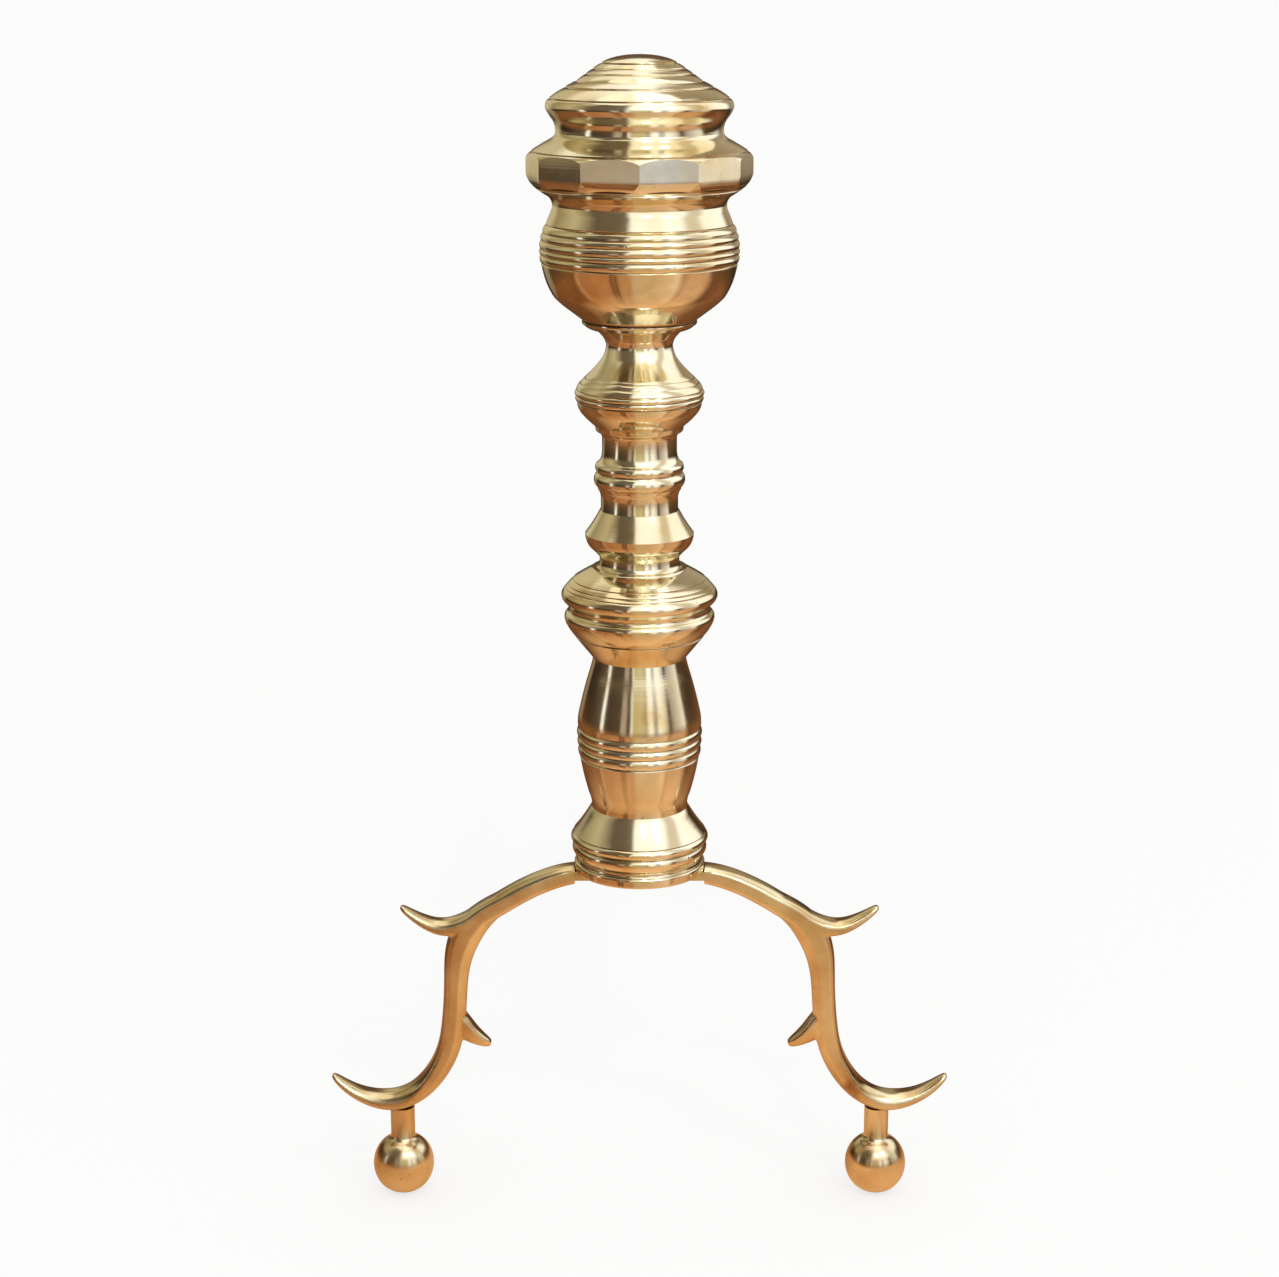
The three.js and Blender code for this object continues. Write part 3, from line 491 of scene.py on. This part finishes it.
# Half of each section, as (across, side). Across 1 is the upper or outer face, side 1 is the front.
# The arch is domed above, down to a sharp ridge over the flat front. The tips are domed nearly down to
# their lower edge, like the back of a spoon. The stem is flat, with a broad chamfer on its inner side.
DOMED = [(1, 0.0), (0.96, 0.36), (0.84, 0.64), (0.66, 0.86), (0.42, 1), (-0.1, 1), (-0.55, 0.98),
         (-0.88, 0.86), (-1, 0.6), (-1, 0.0)]
SPOON = [(1, 0.0), (0.92, 0.32), (0.74, 0.58), (0.46, 0.79), (0.12, 0.93), (-0.24, 1), (-0.56, 0.98),
         (-0.82, 0.84), (-0.96, 0.54), (-1, 0.0)]
CHAMFERED = [(1, 0.0), (1, 0.4), (0.94, 0.7), (0.78, 0.92), (0.58, 1), (0.1, 1), (-0.28, 1),
             (-0.64, 0.74), (-0.97, 0.46), (-1, 0.0)]


def along_stations(stations, t):
    """The station at that share of the way, on a B-spline, which rounds every change of direction."""
    before = [2 * a - b for a, b in zip(stations[0], stations[1])]
    after = [2 * a - b for a, b in zip(stations[-1], stations[-2])]
    held = [before, *stations, after]
    at = min(t * (len(stations) - 1), len(stations) - 1.000001)
    i, f = int(at), at - int(at)
    weights = ((1 - f) ** 3, 3 * f ** 3 - 6 * f ** 2 + 4, -3 * f ** 3 + 3 * f ** 2 + 3 * f + 1, f ** 3)
    return [sum(w * value for w, value in zip(weights, row)) / 6 for row in zip(*held[i:i + 4])]


def ease(low, high, t):
    t = max(0.0, min(1.0, (t - low) / (high - low)))
    return t * t * (3 - 2 * t)


def bar_along(stations, half_section, end_section=None, change=(0.45, 0.7), cuts=70):
    end_section = end_section or half_section
    sides = 2 * len(half_section) - 2
    start()
    bpy.ops.mesh.primitive_cylinder_add(vertices=sides, radius=1, depth=1)
    bar = bpy.context.object
    bpy.ops.object.mode_set(mode="EDIT")
    bpy.ops.mesh.select_mode(type="EDGE")
    bpy.ops.mesh.select_all(action="DESELECT")
    mesh = bmesh.from_edit_mesh(bar.data)
    for edge in mesh.edges:
        edge.select_set(abs(edge.verts[0].co.z - edge.verts[1].co.z) > 0.5)
    bpy.ops.mesh.subdivide(number_cuts=cuts)
    bpy.ops.object.mode_set(mode="OBJECT")
    for corner in bar.data.vertices:
        around = round(math.atan2(corner.co.y, corner.co.x) / math.tau * sides) % sides
        index, mirror = (around, 1) if around < len(half_section) else (sides - around, -1)
        t = corner.co.z + 0.5
        share = ease(*change, t)
        across, side = ((1 - share) * a + share * b for a, b in zip(half_section[index], end_section[index]))
        x, z, thickness, width = along_stations(stations, t)
        x1, z1 = along_stations(stations, min(1, t + 0.004))[:2]
        x0, z0 = along_stations(stations, max(0, t - 0.004))[:2]
        length = math.hypot(x1 - x0, z1 - z0)
        up_x, up_z = -(z1 - z0) / length, (x1 - x0) / length
        offset = across * thickness / 2
        corner.co = Vector((x + up_x * offset, mirror * side * width / 2, z + up_z * offset)) * MM
    bpy.ops.object.mode_set(mode="EDIT")
    bpy.ops.mesh.select_all(action="SELECT")
    bpy.ops.mesh.normals_make_consistent(inside=False)
    bpy.ops.object.mode_set(mode="OBJECT")
    return bar


# %% [markdown]
# The three bars and the tongue under the plate are joined, and room is cut for the plate, the plinth,
# the rivet and the foot's stem. A fine remesh then melts the joins into one skin, as in a casting, and a
# few smoothing passes do what the file and the cloth did.

# %% Legs
def join_all(pieces):
    body, *others = pieces
    for other in others:
        apply_modifier(body, "BOOLEAN", operation="UNION", object=other, solver="EXACT")
        bpy.data.objects.remove(other)
    return body


def block(low, high):
    start()
    centre = [(a + b) / 2 * MM for a, b in zip(low, high)]
    bpy.ops.mesh.primitive_cube_add(size=1, location=centre)
    piece = bpy.context.object
    piece.scale = [(b - a) * MM for a, b in zip(low, high)]
    bpy.ops.object.transform_apply(location=True, rotation=True, scale=True)
    return piece


def rod(radius, low, high, x=0.0, y=0.0, sides=64):
    start()
    bpy.ops.mesh.primitive_cylinder_add(
        vertices=sides, radius=radius * MM, depth=(high - low) * MM, location=(x * MM, y * MM, (low + high) / 2 * MM),
    )
    piece = bpy.context.object
    bpy.ops.object.transform_apply(location=True, rotation=True, scale=True)
    return piece


def cut(body, *tools):
    for tool in tools:
        apply_modifier(body, "BOOLEAN", operation="DIFFERENCE", object=tool, solver="EXACT")
        bpy.data.objects.remove(tool)


def cast_leg():
    leg = join_all([
        bar_along(ARCH, DOMED, SPOON), bar_along(STEM, CHAMFERED, SPOON, change=(0.52, 0.7), cuts=90),
        bar_along(THORN, SPOON, cuts=24),
    ])
    apply_modifier(leg, "REMESH", mode="VOXEL", voxel_size=0.45 * MM)
    apply_modifier(leg, "SMOOTH", factor=0.5, iterations=12)
    cut(leg, rod(29.1, 140, 186), rod(30.6, 160.7, 186))
    leg = join_all([leg, block((12.8, -5.5, 152), (32, 5.5, 156.2))])
    cut(leg, rod(2.7, 150, 158, x=18.6), rod(6.5, 33, 41.5, x=FOOT_REACH), rod(2.8, 40, 45.3, x=FOOT_REACH))
    return leg


right_leg = cast_leg()
left_leg = copy_of(right_leg)
left_leg.rotation_euler.z = math.pi
for leg, side in ((right_leg, "right"), (left_leg, "left")):
    leg.location.y = column_y
    finish_piece(leg, f"{side}_leg_cast", f"{side}_leg", cast_brass, crease=40)

# %% [markdown]
# ## Rivets and rod
# A round-headed rivet holds each leg's tongue under the plate. The iron rod has a countersunk head below
# and a thread above, and is turned here like the castings, only plain.

# %% Rivets and rod
leg_rivet = turn(outline(
    (0, 150.0), (2.9, 150.1, 4.0, 151.7), (2.4, 151.7), (2.4, 161), (0, 161),
), x=18.6 * MM, sides=32)
left_leg_rivet = copy_of(leg_rivet)
left_leg_rivet.location.x = -2 * 18.6 * MM
finish_piece(leg_rivet, "right_leg_rivet_turned", "right_leg_rivet", cast_brass)
finish_piece(left_leg_rivet, "left_leg_rivet_turned", "left_leg_rivet", cast_brass)

tie_rod = turn(outline(
    (0, 151.5), (7.0, 151.5), (7.4, 151.8), (4.5, 154.5), (4.5, 496.4), (3.6, 497.25), (0, 497.25),
), sides=48)
finish_piece(tie_rod, "tie_rod_turned", "tie_rod", forged_iron)

# %% [markdown]
# ## The billet bar and the rear leg
# Both were drawn out under the hammer from square bar. They are built from blocks, tapered and joined,
# then remeshed, and their skin is pushed in and out by a tenth of a millimetre or two in soft dents a
# centimetre across, which is what a hammer leaves.

# %% Hammered iron
def hammer(piece, depth=0.16, across=11.0):
    piece.data.update()
    for corner, normal in zip(piece.data.vertices, [v.normal.copy() for v in piece.data.vertices]):
        dent = noise.noise(corner.co / (across * MM))
        flat = 1.0 - 0.75 * (abs(normal.z) > 0.9)  # the log rest and the foot's sole are left nearly true
        corner.co -= normal * abs(dent) * depth * flat * MM


def forge(piece, name, solid, voxel=1.1):
    apply_modifier(piece, "REMESH", mode="VOXEL", voxel_size=voxel * MM)
    apply_modifier(piece, "SMOOTH", factor=0.5, iterations=2)
    hammer(piece)
    return piece


Y0 = column_y / MM
palm = join_all([rod(10, 151.5, 156.5, y=Y0), block((-10, Y0, 151.5), (10, Y0 + 36, 156.5))])
bar = block((-8, Y0 + 54, 143.5), (8, Y0 + 442, 159.5))
bpy.ops.object.mode_set(mode="EDIT")
bpy.ops.mesh.select_mode(type="FACE")
bpy.ops.mesh.select_all(action="DESELECT")
for face in bmesh.from_edit_mesh(bar.data).faces:
    face.select_set(face.normal.y < -0.9)
bpy.ops.mesh.extrude_region_move(TRANSFORM_OT_translate={"value": (0, -14 * MM, 2.5 * MM)})
bpy.ops.transform.resize(value=(1, 1, 5 / 16), center_override=(0, column_y + 40 * MM, 154 * MM))
bpy.ops.mesh.extrude_region_move(TRANSFORM_OT_translate={"value": (0, -7 * MM, 0)})
bpy.ops.object.mode_set(mode="OBJECT")
apply_modifier(bar, "BEVEL", width=1.2 * MM, segments=2)
bar = join_all([bar, palm])
bar = forge(bar, "billet_bar_forged", "billet_bar")
sink = turn([(0, 150.5), (8.7, 150.5), (4.8, 154.5), (4.8, 157.5), (0, 157.5)], sides=48)
cut(bar, sink, rod(4.3, 142, 161, y=Y0 + 431))
finish_piece(bar, "billet_bar_forged", "billet_bar", forged_iron, crease=40)

SQUARE = [(1, 0.0), (1, 0.75), (0.92, 0.92), (0.75, 1), (0, 1), (-0.75, 1), (-0.92, 0.92), (-1, 0.75), (-1, 0.0)]
shank = bar_along([(0, 143.2, 15, 17), (0, 100.2, 13, 14.5), (0, 23, 11, 12), (0, 2.5, 20, 20)], SQUARE, cuts=40)
penny = turn(outline((0, 0), (16, 0), (17.2, 0.4, 16.9, 2.2), (16.4, 3.9, 10.5, 5), (0, 5)), y=0.0, sides=64)
rear_leg = join_all([shank, penny, rod(4, 141, 159.2)])
rear_leg = forge(rear_leg, "rear_leg_forged", "rear_leg", voxel=0.8)
rear_leg.location.y = column_y + 431 * MM
finish_piece(rear_leg, "rear_leg_forged", "rear_leg", forged_iron, crease=40)

# %% [markdown]
# ## Camera
# The photograph was taken from a little over a metre, above the andiron's top, looking 15 degrees
# down, with a field of view of 29 degrees across.

# %% Camera
start()
CAMERA_AHEAD = 1045.5
CAMERA_HEIGHT = 541.6
bpy.ops.object.camera_add(
    location=(0, column_y - CAMERA_AHEAD * MM, CAMERA_HEIGHT * MM), rotation=(math.radians(90 - 15), 0, 0),
)
camera = bpy.context.object
camera.data.sensor_width = 36
camera.data.lens = 36 * 2500 / 1279
bpy.context.scene.camera = camera
print("camera", round(camera.data.lens, 1), "mm")

# %% [markdown]
# ## Light
# Polished brass is lit less by lamps than by what stands round it. A white sky gives the soft light and
# the pale floor, which is lifted to white for the camera and keeps a part of the shadow. For the mirror
# there are three cards that only reflections see, like the cards a product photographer puts up: a warm
# one on the floor that turns the undersides orange, a round screen with lighter and darker panels that
# draws the upright streaks, and a pale one overhead.

# %% Floor and sky
def background_ray(tree):
    """1 where the ray shows a background: straight to the camera, or through a mirror or glass."""
    path = add(tree, "LightPath")
    mirrored = add(tree, "Math", {0: (path, "Is Camera Ray"), 1: (path, "Is Glossy Ray")}, operation="MAXIMUM")
    return add(tree, "Math", {0: (mirrored, "Value"), 1: (path, "Is Transmission Ray")}, operation="MAXIMUM")


start()
bpy.ops.mesh.primitive_plane_add(size=160, location=(0, 0, 0))
floor = bpy.context.object
floor.name = "floor"
paper, paper_tree = new_material("white_paper_floor")
seen = background_ray(paper_tree)
lift = add(paper_tree, "Math", {0: (seen, "Value"), 1: 0.75}, operation="MULTIPLY")
matt = add(paper_tree, "BsdfDiffuse", {"Color": linear("#F6F5F3")})
white = add(paper_tree, "Emission", {"Color": (1, 1, 1, 1), "Strength": 1.0})
paper_mix = add(paper_tree, "MixShader", {0: (lift, "Value"), 1: (matt, "BSDF"), 2: (white, "Emission")})
add(paper_tree, "OutputMaterial", {"Surface": (paper_mix, "Shader")})
floor.data.materials.append(paper)

world = bpy.data.worlds.new("sky")
bpy.context.scene.world = world
world.use_nodes = True
sky_tree = world.node_tree
sky_tree.nodes.clear()
sky_seen = background_ray(sky_tree)
sky_level = add(sky_tree, "MapRange", {"Value": (sky_seen, "Value"), 3: 0.95, 4: 1.0})
sky = add(sky_tree, "Background", {"Color": (1, 1, 1, 1), "Strength": (sky_level, "Result")})
add(sky_tree, "OutputWorld", {"Surface": (sky, "Background")})

# %% [markdown]
# A card's colour depends on its bearing round the column: 0.5 is straight in front, where the camera
# stands, 0.25 is at the left and 0.75 at the right. A point at s radii from the middle of an upright
# cylinder mirrors the bearing 0.5 + 2 asin(s) / 360 degrees, so a streak in the photograph gives the
# place of its panel.

# %% Card helpers
CARD_REACH = 1.0
CARD_HEIGHT = 2.2


def card_colours(name):
    """A glowing material, its coordinates split into X, Y and Z, and the bearing round the column."""
    material, tree = new_material(name)
    axes = add(tree, "SeparateXYZ", {"Vector": (add(tree, "TexCoord"), "Object")})
    toward = add(tree, "Math", {0: (axes, "Y"), 1: -1.0}, operation="MULTIPLY")
    angle = add(tree, "Math", {0: (axes, "X"), 1: (toward, "Value")}, operation="ARCTAN2")
    bearing = add(tree, "MapRange", {"Value": (angle, "Value"), 1: -math.pi, 2: math.pi})
    return material, tree, axes, bearing


def hang_card(card, name, material, tree, colour, strength):
    glow = add(tree, "Emission", {"Color": colour, "Strength": strength})
    add(tree, "OutputMaterial", {"Surface": (glow, "Emission")})
    card.name = name
    card.data.materials.append(material)
    card.visible_camera = card.visible_diffuse = card.visible_shadow = False
    card.visible_transmission = card.visible_volume_scatter = False


# %% Warm floor card
start()
bpy.ops.mesh.primitive_circle_add(
    vertices=96, radius=CARD_REACH, fill_type="NGON", location=(0, column_y, 0.4 * MM),
)
warm, warm_tree, warm_axes, warm_bearing = card_colours("warm_floor_card")
warm_round = add(warm_tree, "ValToRGB", {"Fac": (warm_bearing, "Result")}, stops=[
    (0.000, "#5E3A24"), (0.200, "#8A5A38"), (0.255, "#7A5034"), (0.270, "#C89468"), (0.285, "#A86E46"),
    (0.340, "#B37A50"), (0.394, "#BC8258"), (0.398, "#4A2A1A"), (0.404, "#4A2A1A"), (0.408, "#BC8258"),
    (0.416, "#5A3420"), (0.422, "#5A3420"), (0.426, "#C08A5E"), (0.464, "#BE8A60"), (0.480, "#CDB08C"),
    (0.540, "#D0B088"), (0.600, "#DEB890"), (0.640, "#E8C8A4"), (0.655, "#B8845A"), (0.680, "#D4A67C"),
    (0.750, "#D2A278"), (0.790, "#6E4630"), (0.860, "#8A5A38"), (1.000, "#5E3A24"),
])
warm_place = add(warm_tree, "TexCoord")
from_column = add(warm_tree, "VectorMath", {0: (warm_place, "Object")}, operation="LENGTH")
near = add(warm_tree, "MapRange", {"Value": (from_column, "Value"), 1: 0.08, 2: 0.4, 3: 0.8, 4: 0.0})
warm_colour = add(warm_tree, "Mix", {
    0: (near, "Result"), 6: (warm_round, "Color"), 7: linear("#F2BC88"),
}, data_type="RGBA")
blotches = add(warm_tree, "TexNoise", {"Vector": (warm_place, "Object"), "Scale": 6.0, "Detail": 2.0})
shade = add(warm_tree, "MapRange", {"Value": (blotches, "Fac"), 1: 0.3, 2: 0.7, 3: 0.86, 4: 1.1})
hang_card(bpy.context.object, "warm_floor_card", warm, warm_tree, (warm_colour, 2), (shade, "Result"))

# %% Panelled screen
start()
bpy.ops.mesh.primitive_cylinder_add(
    vertices=128, radius=CARD_REACH, depth=CARD_HEIGHT, end_fill_type="NOTHING",
    location=(0, column_y, CARD_HEIGHT / 2),
)
panels, panel_tree, panel_axes, panel_bearing = card_colours("panelled_screen")
low_panels = add(panel_tree, "ValToRGB", {"Fac": (panel_bearing, "Result")}, stops=[
    (0.000, "#2B1E16"), (0.060, "#2B1E16"), (0.078, "#8E8672"), (0.110, "#8E8672"), (0.130, "#2C221B"), (0.200, "#3A2F26"),
    (0.283, "#574A3E"), (0.288, "#FFFFFF"), (0.302, "#FFFFFF"), (0.309, "#40342A"),
    (0.400, "#4F4236"), (0.408, "#A89C90"), (0.428, "#A89C90"), (0.438, "#4F4236"), (0.452, "#5A4A3C"),
    (0.458, "#FFFFFF"), (0.468, "#B9AB80"), (0.515, "#C6BA92"), (0.535, "#A69A7C"), (0.550, "#FFFFFF"),
    (0.570, "#FFFFFF"), (0.576, "#B3B4BE"), (0.594, "#B3B4BE"), (0.600, "#FFFFFF"), (0.625, "#F4F2F0"),
    (0.650, "#B9B2AC"), (0.656, "#5A4A40"), (0.668, "#5A4A40"), (0.680, "#A39C98"), (0.755, "#E6E2DE"),
    (0.770, "#4A3828"), (1.000, "#2B1E16"),
])
high_panels = add(panel_tree, "ValToRGB", {"Fac": (panel_bearing, "Result")}, stops=[
    (0.00, "#FFFFFF"), (0.05, "#F2EBDC"), (0.11, "#E0D8C4"), (0.14, "#9A8E6E"), (0.24, "#9A8E6E"),
    (0.27, "#CFC5AE"), (0.33, "#5E5446"), (0.45, "#6A5F50"), (0.468, "#FFFFFF"), (0.66, "#FFFFFF"),
    (0.69, "#CFC5B2"), (0.73, "#CFC5B2"), (0.76, "#FFFFFF"), (0.86, "#FFFFFF"), (0.89, "#8A7E6A"), (0.955, "#A3947C"),
    (0.98, "#FFFFFF"), (1.00, "#FFFFFF"),
])
# Low behind the object, where the legs' upper faces look: olive at the left, white at the right
arch_panels = add(panel_tree, "ValToRGB", {"Fac": (panel_bearing, "Result")}, stops=[
    (0.00, "#5E4A3A"), (0.025, "#5E4A3A"), (0.045, "#BCB194"), (0.10, "#BCB194"), (0.14, "#8C8060"),
    (0.24, "#B4A888"), (0.33, "#5E5446"), (0.45, "#6A5F50"), (0.468, "#FFFFFF"), (0.66, "#FFFFFF"),
    (0.69, "#CFC5B2"), (0.73, "#CFC5B2"), (0.76, "#FFFFFF"), (0.86, "#FFFFFF"), (0.89, "#8A7E6A"),
    (0.955, "#A3947C"), (0.97, "#5E4A3A"), (1.00, "#5E4A3A"),
])
above_arch = add(panel_tree, "MapRange", {
    "Value": (panel_axes, "Z"), 1: 1.15 - CARD_HEIGHT / 2, 2: 1.35 - CARD_HEIGHT / 2,
})
upper_panels = add(panel_tree, "Mix", {
    0: (above_arch, "Result"), 6: (arch_panels, "Color"), 7: (high_panels, "Color"),
}, data_type="RGBA")
# They start at 0.6 m in front, and lower behind the object
off_front = add(panel_tree, "Math", {0: (panel_bearing, "Result"), 1: 0.5}, operation="SUBTRACT")
behind = add(panel_tree, "Math", {0: (off_front, "Value")}, operation="ABSOLUTE")
level = add(panel_tree, "Math", {0: (behind, "Value"), 1: 0.6, 2: (panel_axes, "Z")}, operation="MULTIPLY_ADD")
rise = add(panel_tree, "MapRange", {
    "Value": (level, "Value"), 1: 0.5 - CARD_HEIGHT / 2, 2: 0.66 - CARD_HEIGHT / 2,
})
upright = add(panel_tree, "Mix", {
    0: (rise, "Result"), 6: (low_panels, "Color"), 7: (upper_panels, 2),
}, data_type="RGBA")
foot = add(panel_tree, "MapRange", {"Value": (panel_axes, "Z"), 1: -CARD_HEIGHT / 2, 2: 0.2 - CARD_HEIGHT / 2, 3: 0.7, 4: 0.0})
footed = add(panel_tree, "Mix", {0: (foot, "Result"), 6: (upright, 2), 7: linear("#7E5632")}, data_type="RGBA")
hang_card(bpy.context.object, "panelled_screen", panels, panel_tree, (footed, 2), 1.16)

# %% Card overhead
start()
bpy.ops.mesh.primitive_circle_add(
    vertices=96, radius=CARD_REACH, fill_type="NGON", location=(0, column_y, CARD_HEIGHT),
)
overhead, overhead_tree, overhead_axes, _ = card_colours("overhead_card")
across = add(overhead_tree, "MapRange", {"Value": (overhead_axes, "X"), 1: -CARD_REACH, 2: CARD_REACH})
overhead_pale = add(overhead_tree, "ValToRGB", {"Fac": (across, "Result")}, stops=[
    (0.0, "#DCD2BE"), (0.30, "#EAE2D0"), (0.46, "#DCD3C0"), (0.48, "#FFFFFF"), (0.72, "#FFFFFF"), (1.0, "#EDE6D6"),
])
hang_card(bpy.context.object, "overhead_card", overhead, overhead_tree, (overhead_pale, "Color"), 1.5)

# %% Softboxes
def softbox(name, bearing, rise, distance, size, power):
    """A square lamp that faces the finial. Bearing is in degrees to the right of the camera."""
    aim = Vector((0, column_y, 0.3))
    turned, lifted = math.radians(bearing), math.radians(rise)
    away = Vector((
        math.sin(turned) * math.cos(lifted), -math.cos(turned) * math.cos(lifted), math.sin(lifted),
    ))
    start()
    bpy.ops.object.light_add(type="AREA", location=aim + away * distance)
    lamp = bpy.context.object
    lamp.name = name
    lamp.data.size = size
    lamp.data.energy = power
    lamp.rotation_euler = away.to_track_quat("Z", "Y").to_euler()
    return lamp


softbox("softbox_near", 10, 34, 0.95, 0.12, 0.8)
softbox("softbox_right", 38, 34, 0.95, 0.14, 0.9)
bpy.context.scene.view_settings.view_transform = "Standard"
